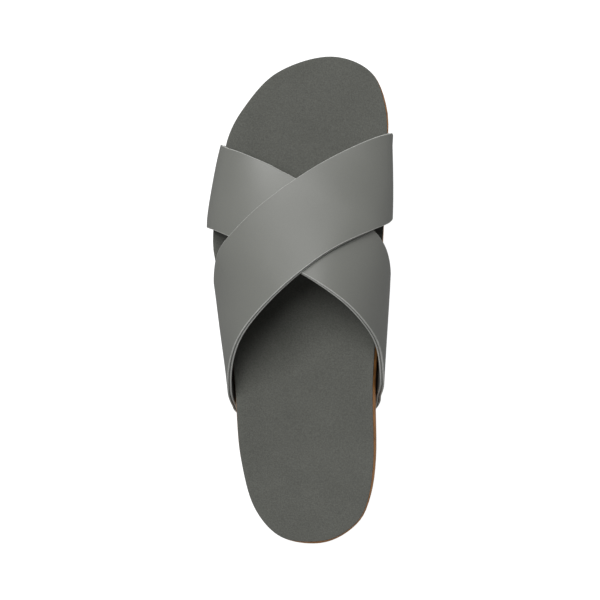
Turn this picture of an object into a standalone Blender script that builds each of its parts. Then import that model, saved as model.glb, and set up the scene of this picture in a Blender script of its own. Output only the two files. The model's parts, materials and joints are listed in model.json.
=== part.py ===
"""Crossed-strap leather slide for the left foot.

The long axis runs along Y with the toe at +Y, the big toe lies at +X and the floor is Z = 0.
Tables and sizes are in millimetres and turned into metres when a mesh is shaped.
"""

import math
from collections import namedtuple

import bmesh
import bpy
import numpy as np
from mathutils import Vector

MM = 0.001

# Driving dimensions.
LENGTH = 275.0
BALL_WIDTH = 97.0
HEEL_HEIGHT = 27.0
INSTEP_HEIGHT = 77.0
TOE_SPRING = 7.0

# Layers, from the floor up, and the straps.
OUTSOLE_THICKNESS = 5.0
INSOLE_THICKNESS = 1.8
STRAP_THICKNESS = 2.6
GAP = 0.3

# Moves the pieces so that the origin lies under the middle of the whole shoe.
CENTRE_X = 0.14
CENTRE_Y = -0.02

# The outsole lifts off the floor in front of the ball and a little under the arch.
SPRING_START = 0.70
ARCH_LIFT = 1.2
ARCH_REAR = 0.30
ARCH_FRONT = 0.52

# The hollow of the foot bed starts at this share of the way from its middle to its edge.
HOLLOW_START = 0.60

# Strap ends: length held under the midsole, height over the outsole, and room around them.
TAB_LENGTH = 8.0
TAB_GAP = 0.5
POCKET_ROOM = 0.8
POCKET_SIDE_ROOM = 0.8
POCKET_REACH = 6.0

# How far the upper strap bites into the lower one, how far from its edge it starts to climb,
# and the girth share up to which the two can lie on each other.
CROSSING_BITE = 0.5
CLIMB = 45.0
CROSSING_GIRTH = 0.42

# Girth shares from the crown to a strap's end: widest line of the side, start and end of the fold
# round the midsole's lower edge. The tab that is held under the midsole takes the rest.
SIDE_GIRTH = 0.72
FOLD_GIRTH = 0.86
EDGE_GIRTH = 0.92
FOLD_RADIUS = 1.2

# Mesh divisions.
SOLE_ACROSS = 14
SOLE_ALONG = 28
STRAP_AROUND = 50
STRAP_ACROSS = 10
SECTION_SAMPLES = 90

# Edge of the foot bed, anticlockwise from the heel. along: share of LENGTH from the heel.
# across: share of BALL_WIDTH, medial positive. rim: edge height as a share of HEEL_HEIGHT.
# flare: how far the midsole's side stands out past the edge.
Landmark = namedtuple("Landmark", "name along across rim flare")
OUTLINE = (
    Landmark("heel_back", 0.0035, 0.090, 1.13, 1.7),
    Landmark("heel_turn_medial", 0.0145, 0.222, 1.13, 1.2),
    Landmark("heel_corner_medial", 0.050, 0.349, 1.13, 0.9),
    Landmark("heel_side_medial", 0.098, 0.404, 1.13, 1.0),
    Landmark("heel_medial", 0.170, 0.430, 1.13, 1.2),
    Landmark("waist_medial", 0.318, 0.426, 1.13, 1.45),
    Landmark("arch_medial", 0.420, 0.441, 1.03, 1.8),
    Landmark("ball_medial", 0.635, 0.484, 0.78, 0.1),
    Landmark("joint_medial", 0.784, 0.502, 0.74, 0.1),
    Landmark("big_toe_side", 0.896, 0.498, 0.76, 0.8),
    Landmark("big_toe_corner", 0.970, 0.414, 0.82, 0.15),
    Landmark("toe_tip", 1.002, 0.191, 0.86, 0.2),
    Landmark("toe_corner_lateral", 0.968, -0.143, 0.82, 0.1),
    Landmark("little_toe", 0.891, -0.345, 0.77, 0.1),
    Landmark("strap_front_lateral", 0.840, -0.422, 0.75, 0.1),
    Landmark("joint_lateral", 0.785, -0.457, 0.74, 0.2),
    Landmark("ball_lateral", 0.642, -0.513, 0.76, 0.2),
    Landmark("gap_lateral", 0.595, -0.508, 0.80, 0.2),
    Landmark("strap_rest_lateral", 0.548, -0.474, 0.84, 0.4),
    Landmark("midfoot_lateral", 0.470, -0.430, 0.91, 0.5),
    Landmark("waist_lateral", 0.336, -0.381, 1.02, 0.6),
    Landmark("heel_lateral", 0.173, -0.343, 1.11, 0.4),
    Landmark("heel_corner_lateral", 0.066, -0.2535, 1.13, 0.3),
    Landmark("heel_back_lateral", 0.0125, -0.107, 1.13, 0.5),
)

# Height of the foot bed along its middle, as a share of HEEL_HEIGHT.
Bed = namedtuple("Bed", "along height")
FOOT_BED = (
    Bed(0.00, 1.00),
    Bed(0.14, 0.98),
    Bed(0.30, 0.94),
    Bed(0.45, 0.80),
    Bed(0.60, 0.65),
    Bed(0.75, 0.60),
    Bed(0.88, 0.63),
    Bed(1.00, 0.74),
)

# Side of the midsole. height: share from its bottom to its top. bulge: share of the flare.
SideRow = namedtuple("SideRow", "height bulge")
MIDSOLE_SIDE = (
    SideRow(0.00, 0.55),
    SideRow(0.14, 0.85),
    SideRow(0.48, 1.00),
    SideRow(0.80, 0.95),
    SideRow(0.94, 0.60),
    SideRow(1.00, 0.00),
)

# Inside of the straps on the last. lateral, medial: widest place as a share of BALL_WIDTH.
# side: height of that place, crown: height of the ridge, as shares of INSTEP_HEIGHT.
# ridge: place of the ridge as a share of BALL_WIDTH. fullness: 2 is an ellipse, less is a roof.
Section = namedtuple("Section", "along lateral medial side ridge crown fullness")
LAST = (
    Section(0.20, -0.370, 0.453, 0.416, 0.04, 1.580, 1.60),
    Section(0.33, -0.397, 0.468, 0.416, 0.05, 1.400, 1.65),
    Section(0.45, -0.443, 0.488, 0.390, 0.07, 1.195, 1.75),
    Section(0.55, -0.483, 0.504, 0.350, 0.08, 1.000, 1.90),
    Section(0.66, -0.520, 0.515, 0.300, -0.02, 0.773, 2.10),
    Section(0.70, -0.507, 0.518, 0.290, -0.07, 0.695, 2.20),
    Section(0.75, -0.483, 0.518, 0.282, -0.10, 0.617, 2.25),
    Section(0.80, -0.454, 0.515, 0.280, -0.11, 0.556, 2.30),
    Section(0.85, -0.415, 0.511, 0.280, -0.11, 0.515, 2.35),
)

# Strap edges. girth: share of the half girth from the crown, lateral negative.
# front, rear: places of the two edges as shares of LENGTH from the heel.
Cut = namedtuple("Cut", "girth front rear")
STRAP_UNDER = (
    Cut(-1.00, 0.814, 0.645),
    Cut(-0.92, 0.815, 0.646),
    Cut(-0.86, 0.817, 0.647),
    Cut(-0.72, 0.819, 0.649),
    Cut(-0.60, 0.816, 0.647),
    Cut(-0.50, 0.810, 0.639),
    Cut(-0.40, 0.804, 0.627),
    Cut(-0.20, 0.786, 0.590),
    Cut(0.00, 0.761, 0.543),
    Cut(0.20, 0.714, 0.494),
    Cut(0.40, 0.655, 0.444),
    Cut(0.50, 0.627, 0.419),
    Cut(0.60, 0.593, 0.385),
    Cut(0.72, 0.553, 0.330),
    Cut(0.79, 0.536, 0.308),
    Cut(0.86, 0.521, 0.292),
    Cut(0.92, 0.513, 0.269),
    Cut(1.00, 0.510, 0.266),
)
STRAP_OVER = (
    Cut(-1.00, 0.499, 0.257),
    Cut(-0.92, 0.503, 0.259),
    Cut(-0.86, 0.509, 0.273),
    Cut(-0.79, 0.518, 0.286),
    Cut(-0.72, 0.529, 0.303),
    Cut(-0.60, 0.559, 0.347),
    Cut(-0.50, 0.595, 0.385),
    Cut(-0.40, 0.624, 0.422),
    Cut(-0.20, 0.678, 0.494),
    Cut(0.00, 0.721, 0.562),
    Cut(0.20, 0.767, 0.604),
    Cut(0.40, 0.807, 0.634),
    Cut(0.50, 0.823, 0.647),
    Cut(0.60, 0.836, 0.657),
    Cut(0.72, 0.844, 0.667),
    Cut(0.86, 0.842, 0.669),
    Cut(0.92, 0.839, 0.667),
    Cut(1.00, 0.837, 0.666),
)

# Where the rows of a strap's grid lie round its girth: closer together in the fold.
GirthRow = namedtuple("GirthRow", "place girth")
STRAP_ROWS = (
    GirthRow(0.00, 0.00),
    GirthRow(0.62, SIDE_GIRTH),
    GirthRow(0.76, FOLD_GIRTH),
    GirthRow(0.93, EDGE_GIRTH),
    GirthRow(1.00, 1.00),
)


def along_mm(share):
    """Place along Y of a share of the length counted from the heel."""
    return (share - 0.5) * LENGTH


def smooth_step(value):
    """Soft ramp from 0 to 1."""
    value = min(1.0, max(0.0, value))
    return value * value * (3.0 - 2.0 * value)


def table_columns(rows, key):
    """Columns of a table as arrays, with the key column first."""
    keys = np.array([getattr(row, key) for row in rows])
    fields = [name for name in rows[0]._fields if name not in (key, "name")]
    return keys, {name: np.array([getattr(row, name) for row in rows]) for name in fields}


def curve_slopes(keys, values):
    """Slopes at the rows of the smoothest curve through them."""
    count = len(keys)
    spans = np.diff(keys)
    steps = np.diff(values) / spans
    system = np.zeros((count, count))
    target = np.zeros(count)
    system[0, :2] = 2.0, 1.0
    target[0] = 3.0 * steps[0]
    system[-1, -2:] = 1.0, 2.0
    target[-1] = 3.0 * steps[-1]
    for i in range(1, count - 1):
        system[i, i - 1:i + 2] = spans[i], 2.0 * (spans[i - 1] + spans[i]), spans[i - 1]
        target[i] = 3.0 * (spans[i] * steps[i - 1] + spans[i - 1] * steps[i])
    return np.linalg.solve(system, target)


def curve_at(keys, values, slopes, key):
    """Value of the smooth curve at one key."""
    key = min(max(key, keys[0]), keys[-1])
    i = min(max(int(np.searchsorted(keys, key)) - 1, 0), len(keys) - 2)
    span = keys[i + 1] - keys[i]
    t = (key - keys[i]) / span
    near = (1.0 + 2.0 * t) * (1.0 - t) ** 2 * values[i] + t * (1.0 - t) ** 2 * span * slopes[i]
    far = t * t * (3.0 - 2.0 * t) * values[i + 1] - t * t * (1.0 - t) * span * slopes[i + 1]
    return near + far


class Table:
    """A table read as smooth curves over its key column."""

    def __init__(self, rows, key):
        self.keys, self.columns = table_columns(rows, key)
        self.slopes = {name: curve_slopes(self.keys, col) for name, col in self.columns.items()}

    def at(self, name, key):
        return curve_at(self.keys, self.columns[name], self.slopes[name], key)


def closed_curve(points, count):
    """Closed smooth curve through the points, as count points in order."""
    loop = np.vstack([points[-1:], points, points[:2]])
    steps = np.linalg.norm(np.diff(loop[:, :2], axis=0), axis=1) ** 0.5
    knots = np.concatenate([[0.0], np.cumsum(steps)])
    out = []
    for t in np.linspace(knots[1], knots[-2], count, endpoint=False):
        i = min(int(np.searchsorted(knots, t, side="right")) - 1, len(knots) - 3)
        k0, k1, k2, k3 = knots[i - 1:i + 3]
        p0, p1, p2, p3 = loop[i - 1:i + 3]
        a1 = p0 + (p1 - p0) * (t - k0) / (k1 - k0)
        a2 = p1 + (p2 - p1) * (t - k1) / (k2 - k1)
        a3 = p2 + (p3 - p2) * (t - k2) / (k3 - k2)
        b1 = a1 + (a2 - a1) * (t - k0) / (k2 - k0)
        b2 = a2 + (a3 - a2) * (t - k1) / (k3 - k1)
        out.append(b1 + (b2 - b1) * (t - k1) / (k2 - k1))
    return np.array(out)


def outline_curve():
    """Edge of the foot bed in millimetres: x, y, edge height, flare."""
    rows = []
    for mark in OUTLINE:
        rows.append((mark.across * BALL_WIDTH, along_mm(mark.along), mark.rim * HEEL_HEIGHT, mark.flare))
    return closed_curve(np.array(rows), 1440)


EDGE = outline_curve()
EDGE_ANGLE = np.unwrap(np.arctan2(EDGE[:, 1] / LENGTH, EDGE[:, 0] / BALL_WIDTH))
BED_TABLE = Table(FOOT_BED, "along")
LAST_TABLE = Table(LAST, "along")
UNDER_TABLE = Table(STRAP_UNDER, "girth")
OVER_TABLE = Table(STRAP_OVER, "girth")


def edge_at(angle):
    """Edge of the foot bed in the direction of an angle: x, y, edge height, flare."""
    turn = 2.0 * math.pi
    start = EDGE_ANGLE[0]
    angle = start + (angle - start) % turn
    angles = np.append(EDGE_ANGLE, start + turn)
    return [float(np.interp(angle, angles, np.append(col, col[0]))) for col in EDGE.T]


def edge_normal(angle):
    """Direction out of the foot bed's edge, in plan."""
    x0, y0 = edge_at(angle - 0.01)[:2]
    x1, y1 = edge_at(angle + 0.01)[:2]
    size = math.hypot(x1 - x0, y1 - y0)
    return (y1 - y0) / size, (x0 - x1) / size


def disc_place(u, v):
    """Angle and distance from the middle of a place on the square grid laid on a disc."""
    x = u * math.sqrt(1.0 - v * v / 2.0)
    y = v * math.sqrt(1.0 - u * u / 2.0)
    return math.atan2(y, x), min(1.0, math.hypot(x, y))


def floor_lift(y):
    """Height of the outsole's underside over the floor."""
    share = y / LENGTH + 0.5
    if share > SPRING_START:
        return TOE_SPRING * ((share - SPRING_START) / (1.0 - SPRING_START)) ** 2
    if ARCH_REAR < share < ARCH_FRONT:
        return ARCH_LIFT * math.sin(math.pi * (share - ARCH_REAR) / (ARCH_FRONT - ARCH_REAR)) ** 2
    return 0.0


def seam_height(y):
    """Height of the outsole's top."""
    return floor_lift(y) + OUTSOLE_THICKNESS


def bed_height(y, angle, reach):
    """Height of the foot bed: the middle line, rising to the rim near the edge."""
    middle = BED_TABLE.at("height", y / LENGTH + 0.5) * HEEL_HEIGHT
    _, edge_y, rim, _ = edge_at(angle)
    edge_middle = BED_TABLE.at("height", edge_y / LENGTH + 0.5) * HEEL_HEIGHT
    rise = smooth_step((reach - HOLLOW_START) / (1.0 - HOLLOW_START))
    return middle + (rim - edge_middle) * rise


def sole_plan(u, v, grow):
    """Plan place of a grid point, with the outline grown by a share of the flare plus a length."""
    angle, reach = disc_place(u, v)
    x, y, _, flare = edge_at(angle)
    nx, ny = edge_normal(angle)
    out = grow(flare)
    return reach * (x + nx * out), reach * (y + ny * out), angle, reach


def insole_point(u, v, w):
    x, y, angle, reach = sole_plan(u, v, lambda flare: 0.0)
    z = bed_height(y, angle, reach) - (1.0 - w) * INSOLE_THICKNESS
    return x, y, z


def midsole_point(u, v, w):
    row = MIDSOLE_SIDE[round(w * (len(MIDSOLE_SIDE) - 1))]
    x, y, angle, reach = sole_plan(u, v, lambda flare: row.bulge * flare)
    top = bed_height(y, angle, reach) - INSOLE_THICKNESS - GAP
    bottom = seam_height(y) + GAP
    return x, y, bottom + (top - bottom) * row.height


def outsole_point(u, v, w):
    inset = 0.2 + 0.6 * (1.0 - w)
    x, y, _, _ = sole_plan(u, v, lambda flare: MIDSOLE_SIDE[0].bulge * flare - inset)
    return x, y, floor_lift(y) + w * OUTSOLE_THICKNESS


def sole_side(y, side):
    """Foot bed's edge on one side at one place along the shoe: place across, and flare."""
    rows = EDGE[EDGE[:, 0] * side > 0.0]
    rows = rows[np.argsort(rows[:, 1])]
    return float(np.interp(y, rows[:, 1], rows[:, 0])), float(np.interp(y, rows[:, 1], rows[:, 3]))


def half_section(y, side):
    """Inside of the last on one side: the arch from crown to widest line, and the lower sizes."""
    share = y / LENGTH + 0.5
    column = "medial" if side > 0 else "lateral"
    wide_x = LAST_TABLE.at(column, share) * BALL_WIDTH
    wide_z = LAST_TABLE.at("side", share) * INSTEP_HEIGHT
    ridge_x = LAST_TABLE.at("ridge", share) * BALL_WIDTH
    crown_z = LAST_TABLE.at("crown", share) * INSTEP_HEIGHT
    power = 2.0 / LAST_TABLE.at("fullness", share)
    angles = np.linspace(0.5 * math.pi, 0.0, SECTION_SAMPLES)
    arch_x = ridge_x + (wide_x - ridge_x) * np.cos(angles) ** power
    arch_z = wide_z + (crown_z - wide_z) * np.sin(angles) ** power
    arch_x[0] = ridge_x
    arch_z[-1] = wide_z
    return arch_x, arch_z, wide_x, wide_z


def tab_height(y):
    """Height of the upper face of a strap end."""
    return seam_height(y) + TAB_GAP + STRAP_THICKNESS


def last_point(y, girth):
    """Point on the inside of the straps at one place along the shoe and around the girth."""
    side = 1.0 if girth >= 0.0 else -1.0
    reach = abs(girth)
    arch_x, arch_z, wide_x, wide_z = half_section(y, side)
    if reach <= SIDE_GIRTH:
        steps = np.hypot(np.diff(arch_x), np.diff(arch_z))
        lengths = np.concatenate([[0.0], np.cumsum(steps)])
        at = reach / SIDE_GIRTH * lengths[-1]
        return Vector((np.interp(at, lengths, arch_x), y, np.interp(at, lengths, arch_z)))
    edge_x, flare = sole_side(y, side)
    bend_x = edge_x + side * (flare + GAP)
    fold_z = tab_height(y) + FOLD_RADIUS
    if reach <= FOLD_GIRTH:
        drop = (reach - SIDE_GIRTH) / (FOLD_GIRTH - SIDE_GIRTH)
        x = wide_x + (bend_x - wide_x) * smooth_step(drop)
        return Vector((x, y, wide_z + (fold_z - wide_z) * drop))
    turn = 0.5 * math.pi * min(1.0, (reach - FOLD_GIRTH) / (EDGE_GIRTH - FOLD_GIRTH))
    tab = max(0.0, (reach - EDGE_GIRTH) / (1.0 - EDGE_GIRTH))
    inward = FOLD_RADIUS * (1.0 - math.cos(turn)) + (flare + GAP + TAB_LENGTH - FOLD_RADIUS) * tab
    return Vector((bend_x - side * inward, y, fold_z - FOLD_RADIUS * math.sin(turn)))


def last_normal(y, girth):
    """Direction out of the last."""
    step = 0.006
    around = last_point(y, girth + step) - last_point(y, girth - step)
    ahead = last_point(y + 1.0, girth) - last_point(y - 1.0, girth)
    return around.cross(ahead).normalized()


def no_lift(y, girth):
    """The lower strap lies on the last."""
    return 0.0


def crossing_lift(y, girth):
    """How far the upper strap is lifted off the last by the lower strap under it."""
    front = along_mm(UNDER_TABLE.at("front", girth))
    rear = along_mm(UNDER_TABLE.at("rear", girth))
    inside = min(front - y, y - rear)
    fade = smooth_step((SIDE_GIRTH - abs(girth)) / (SIDE_GIRTH - CROSSING_GIRTH))
    return (STRAP_THICKNESS - CROSSING_BITE) * smooth_step((inside + CLIMB) / CLIMB) * fade


def strap_girth(place):
    """Girth share of a place across a strap's grid."""
    reach = np.interp(abs(place), [row.place for row in STRAP_ROWS], [row.girth for row in STRAP_ROWS])
    return math.copysign(float(reach), place)


def strap_point(cuts, girth, across, lift):
    """Point of a strap's inner face. across runs from 0 at the front edge to 1 at the rear edge."""
    front = along_mm(cuts.at("front", girth))
    rear = along_mm(cuts.at("rear", girth))
    y = front + (rear - front) * across
    return last_point(y, girth) + last_normal(y, girth) * lift(y, girth)


def pocket_point(cuts, side, u, v):
    """Point of the ceiling of the pocket for a strap end. u runs inwards and v to the front."""
    ends = (side * EDGE_GIRTH, side)
    front = along_mm(max(cuts.at("front", girth) for girth in ends)) + POCKET_SIDE_ROOM
    rear = along_mm(min(cuts.at("rear", girth) for girth in ends)) - POCKET_SIDE_ROOM
    y = rear + (front - rear) * (v + 1.0) / 2.0
    inward = -POCKET_REACH + (TAB_LENGTH + POCKET_SIDE_ROOM + POCKET_REACH) * (u + 1.0) / 2.0
    return Vector((sole_side(y, side)[0] - side * inward, y, tab_height(y) + POCKET_ROOM))


def new_object(name, mesh_data, collection):
    """Object with a mesh from a finished bmesh, in metres, at the origin."""
    mesh = bpy.data.meshes.new(name)
    bmesh.ops.translate(mesh_data, vec=(CENTRE_X, CENTRE_Y, 0.0), verts=mesh_data.verts)
    bmesh.ops.scale(mesh_data, vec=(MM, MM, MM), verts=mesh_data.verts)
    mesh_data.to_mesh(mesh)
    mesh_data.free()
    made = bpy.data.objects.new(name, mesh)
    collection.objects.link(made)
    return made


def new_material(made, colour, roughness):
    """Plain surface for one piece."""
    material = bpy.data.materials.new(made.name)
    material.use_nodes = True
    shader = material.node_tree.nodes["Principled BSDF"]
    shader.inputs["Base Color"].default_value = (*colour, 1.0)
    shader.inputs["Roughness"].default_value = roughness
    shader.inputs["Metallic"].default_value = 0.0
    made.data.materials.append(material)


def sole_block(name, place, rows, collection):
    """Slab with a grid on top and bottom, cut into rows around its side and laid in place."""
    block = bmesh.new()
    bmesh.ops.create_grid(block, x_segments=SOLE_ACROSS, y_segments=SOLE_ALONG, size=1.0)
    raised = bmesh.ops.extrude_face_region(block, geom=block.faces[:])["geom"]
    top = [item for item in raised if isinstance(item, bmesh.types.BMVert)]
    bmesh.ops.translate(block, vec=(0.0, 0.0, 1.0), verts=top)
    uprights = [e for e in block.edges if abs(e.verts[0].co.z - e.verts[1].co.z) > 0.5]
    if rows > 1:
        bmesh.ops.subdivide_edges(block, edges=uprights, cuts=rows - 1, use_grid_fill=True)
    for vert in block.verts:
        vert.co = Vector(place(*vert.co))
    bmesh.ops.recalc_face_normals(block, faces=block.faces[:])
    return new_object(name, block, collection)


def sheet_body(name, across, along, place, thickness, collection):
    """Grid laid in place and thickened along its face direction."""
    sheet = bmesh.new()
    bmesh.ops.create_grid(sheet, x_segments=across, y_segments=along, size=1.0)
    for vert in sheet.verts:
        vert.co = place(vert.co.x, vert.co.y)
    made = new_object(name, sheet, collection)
    shell = made.modifiers.new("thickness", "SOLIDIFY")
    shell.thickness = thickness * MM
    shell.offset = 1.0
    return made


def strap_body(name, cuts, lift, collection):
    """One strap from tab to tab."""
    def place(u, v):
        return strap_point(cuts, strap_girth(u), (1.0 - v) / 2.0, lift)
    return sheet_body(name, STRAP_AROUND, STRAP_ACROSS, place, STRAP_THICKNESS, collection)


def pocket_body(name, cuts, side, collection):
    """Room for one strap end, open below."""
    def place(u, v):
        return pocket_point(cuts, side, -side * u, v)
    depth = POCKET_ROOM + STRAP_THICKNESS + 2.0 * TAB_GAP
    return sheet_body(name, 3, 8, place, -depth, collection)


def join_bodies(base, other, operation):
    """Boolean between two pieces."""
    joint = base.modifiers.new(other.name, "BOOLEAN")
    joint.operation = operation
    joint.solver = "EXACT"
    joint.object = other


def as_cutter(made):
    """Helper body that takes part in a cut or a union and isn't a piece itself."""
    made.hide_render = True
    made.display_type = "WIRE"


def clear_scene():
    """Take away what a new scene holds."""
    for item in list(bpy.data.objects):
        bpy.data.objects.remove(item, do_unlink=True)


def main():
    clear_scene()
    pieces = bpy.data.collections.new("crossed_strap_slide")
    cutters = bpy.data.collections.new("cutters")
    bpy.context.scene.collection.children.link(pieces)
    bpy.context.scene.collection.children.link(cutters)

    outsole = sole_block("outsole", outsole_point, 1, pieces)
    midsole = sole_block("midsole", midsole_point, len(MIDSOLE_SIDE) - 1, pieces)
    insole = sole_block("insole", insole_point, 1, pieces)

    upper = strap_body("upper", UNDER_TABLE, no_lift, pieces)
    over = strap_body("strap_over", OVER_TABLE, crossing_lift, cutters)
    join_bodies(upper, over, "UNION")
    as_cutter(over)

    for strap, cuts in (("under", UNDER_TABLE), ("over", OVER_TABLE)):
        for side_name, side in (("lateral", -1.0), ("medial", 1.0)):
            pocket = pocket_body(f"pocket_{strap}_{side_name}", cuts, side, cutters)
            join_bodies(midsole, pocket, "DIFFERENCE")
            as_cutter(pocket)

    new_material(outsole, (0.050, 0.049, 0.046), 0.75)
    new_material(midsole, (0.350, 0.155, 0.042), 0.70)
    new_material(insole, (0.084, 0.086, 0.077), 0.95)
    new_material(upper, (0.130, 0.133, 0.121), 0.45)


if __name__ == "__main__":
    main()
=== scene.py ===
import json
import math
from collections import namedtuple

import bpy
import numpy as np
from mathutils import Matrix, Vector

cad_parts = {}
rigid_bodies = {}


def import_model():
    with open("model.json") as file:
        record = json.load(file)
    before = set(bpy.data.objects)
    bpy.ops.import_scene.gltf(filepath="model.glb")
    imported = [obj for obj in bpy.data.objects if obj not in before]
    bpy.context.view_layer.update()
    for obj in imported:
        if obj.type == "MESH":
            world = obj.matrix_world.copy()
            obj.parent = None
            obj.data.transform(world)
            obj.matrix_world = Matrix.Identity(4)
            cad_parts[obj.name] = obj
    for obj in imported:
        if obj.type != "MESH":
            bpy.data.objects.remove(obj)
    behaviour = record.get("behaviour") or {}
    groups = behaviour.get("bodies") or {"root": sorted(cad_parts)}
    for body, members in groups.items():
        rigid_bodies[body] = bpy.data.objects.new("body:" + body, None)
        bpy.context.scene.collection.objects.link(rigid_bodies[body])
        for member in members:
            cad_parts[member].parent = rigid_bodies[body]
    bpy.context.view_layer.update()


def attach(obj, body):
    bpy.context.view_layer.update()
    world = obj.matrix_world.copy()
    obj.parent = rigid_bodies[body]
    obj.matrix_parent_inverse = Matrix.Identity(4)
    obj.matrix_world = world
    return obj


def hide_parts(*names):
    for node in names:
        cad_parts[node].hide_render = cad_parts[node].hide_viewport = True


# Crossed-strap leather slide for the left foot. The toe lies at +Y, the big toe at +X, the floor at
# Z = 0. Sizes and tables are in millimetres and become metres when a piece is laid in its place.

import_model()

MM = 0.001

# The shoe's driving sizes, as in its solids.
LENGTH = 275.0
BALL_WIDTH = 97.0
HEEL_HEIGHT = 27.0
INSTEP_HEIGHT = 77.0
TOE_SPRING = 7.0
OUTSOLE_THICKNESS = 5.0
INSOLE_THICKNESS = 1.8
STRAP_THICKNESS = 2.6
GAP = 0.3
CENTRE_X = 0.14
CENTRE_Y = -0.02
SPRING_START = 0.70
ARCH_LIFT = 1.2
ARCH_REAR = 0.30
ARCH_FRONT = 0.52
HOLLOW_START = 0.60
TAB_LENGTH = 8.0
TAB_GAP = 0.5
POCKET_ROOM = 0.8
POCKET_SIDE_ROOM = 0.8
POCKET_REACH = 6.0
CLIMB = 45.0
CROSSING_GIRTH = 0.42
SIDE_GIRTH = 0.72
FOLD_GIRTH = 0.86
EDGE_GIRTH = 0.92
FOLD_RADIUS = 1.2
OUTSOLE_INSET = 0.2
OUTSOLE_TAPER = 0.6

# Samples of the curves, and the steps that give directions on them: in radians, in girth, in millimetres.
EDGE_SAMPLES = 1440
SECTION_SAMPLES = 120
ANGLE_STEP = 0.01
GIRTH_STEP = 0.006
ALONG_STEP = 1.0
TINY = 1e-9

# How the straps lie on each other: a hair of air, and a rear edge that stands off the strap below.
CROSSING_AIR = 0.05
STAND_OFF = 1.1
STAND_OFF_START = 0.55
STAND_OFF_MIDDLE = 0.30
STAND_OFF_REACH = 0.34

# Strap edges: two layers with a groove between them and rounded corners.
GROOVE_SHARE = 0.20
GROOVE_WALL = 0.18
GROOVE_DEPTH = 0.35
GROOVE_ROUND = 0.16
GROOVE_SEGMENTS = 2
EDGE_ROUND = 0.34
EDGE_SEGMENTS = 4

# Edge of the suede cover: its rounding, and the upright part of a normal below which a face is cut edge.
INSOLE_EDGE_ROUND = 0.40
INSOLE_EDGE_SEGMENTS = 3
CUT_FACE_LIMIT = 0.4

# Mesh divisions.
STRAP_AROUND = 110
STRAP_ACROSS = 26
RIM_POINTS = 192
RING_REACH = (1.0, 0.985, 0.965, 0.94, 0.91, 0.88, 0.84, 0.80, 0.75, 0.70, 0.64, 0.58, 0.52, 0.46, 0.40)
MIDSOLE_ROWS = 16
OUTSOLE_ROWS = 4
POCKET_GRID = (3, 8)
GROOVE_GRID = (40, 1)

# Angles in degrees from which an edge stays sharp.
STRAP_SHARP = 60.0
INSOLE_SHARP = 50.0
SOLE_SHARP = 40.0

# Numbers of the finishes on a strap, after its leather, and on the suede cover. The strap's groove finish
# is a darker grey: painted shade in the groove.
LINING, CUT_EDGE, GROOVE_SHADE_FINISH = 1, 2, 3
SUEDE, SUEDE_EDGE = 0, 1

# Edge of the foot bed, anticlockwise from the heel. along: share of LENGTH from the heel.
# across: share of BALL_WIDTH, medial positive. rim: edge height as a share of HEEL_HEIGHT.
# flare: how far the midsole's side stands out past the edge.
Landmark = namedtuple("Landmark", "name along across rim flare")
OUTLINE = (
    Landmark("heel_back", 0.0035, 0.090, 1.13, 1.7),
    Landmark("heel_turn_medial", 0.0145, 0.222, 1.13, 1.2),
    Landmark("heel_corner_medial", 0.050, 0.349, 1.13, 0.9),
    Landmark("heel_side_medial", 0.098, 0.404, 1.13, 1.0),
    Landmark("heel_medial", 0.170, 0.430, 1.13, 1.2),
    Landmark("waist_medial", 0.318, 0.426, 1.13, 1.45),
    Landmark("arch_medial", 0.420, 0.441, 1.03, 1.8),
    Landmark("ball_medial", 0.635, 0.484, 0.78, 0.1),
    Landmark("joint_medial", 0.784, 0.502, 0.74, 0.1),
    Landmark("big_toe_side", 0.896, 0.498, 0.76, 0.8),
    Landmark("big_toe_corner", 0.970, 0.414, 0.82, 0.15),
    Landmark("toe_tip", 1.002, 0.191, 0.86, 0.2),
    Landmark("toe_corner_lateral", 0.968, -0.143, 0.82, 0.1),
    Landmark("little_toe", 0.891, -0.345, 0.77, 0.1),
    Landmark("strap_front_lateral", 0.840, -0.422, 0.75, 0.1),
    Landmark("joint_lateral", 0.785, -0.457, 0.74, 0.2),
    Landmark("ball_lateral", 0.642, -0.513, 0.76, 0.2),
    Landmark("gap_lateral", 0.595, -0.508, 0.80, 0.2),
    Landmark("strap_rest_lateral", 0.548, -0.474, 0.84, 0.4),
    Landmark("midfoot_lateral", 0.470, -0.430, 0.91, 0.5),
    Landmark("waist_lateral", 0.336, -0.381, 1.02, 0.6),
    Landmark("heel_lateral", 0.173, -0.343, 1.11, 0.4),
    Landmark("heel_corner_lateral", 0.066, -0.2535, 1.13, 0.3),
    Landmark("heel_back_lateral", 0.0125, -0.107, 1.13, 0.5),
)

# Height of the foot bed along its middle, as a share of HEEL_HEIGHT.
Bed = namedtuple("Bed", "along height")
FOOT_BED = (
    Bed(0.00, 1.00),
    Bed(0.14, 0.98),
    Bed(0.30, 0.94),
    Bed(0.45, 0.80),
    Bed(0.60, 0.65),
    Bed(0.75, 0.60),
    Bed(0.88, 0.63),
    Bed(1.00, 0.74),
)

# Side of the midsole. height: share from its bottom to its top. bulge: share of the flare.
SideRow = namedtuple("SideRow", "height bulge")
MIDSOLE_SIDE = (
    SideRow(0.00, 0.55),
    SideRow(0.14, 0.85),
    SideRow(0.48, 1.00),
    SideRow(0.80, 0.95),
    SideRow(0.94, 0.60),
    SideRow(1.00, 0.00),
)

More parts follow.
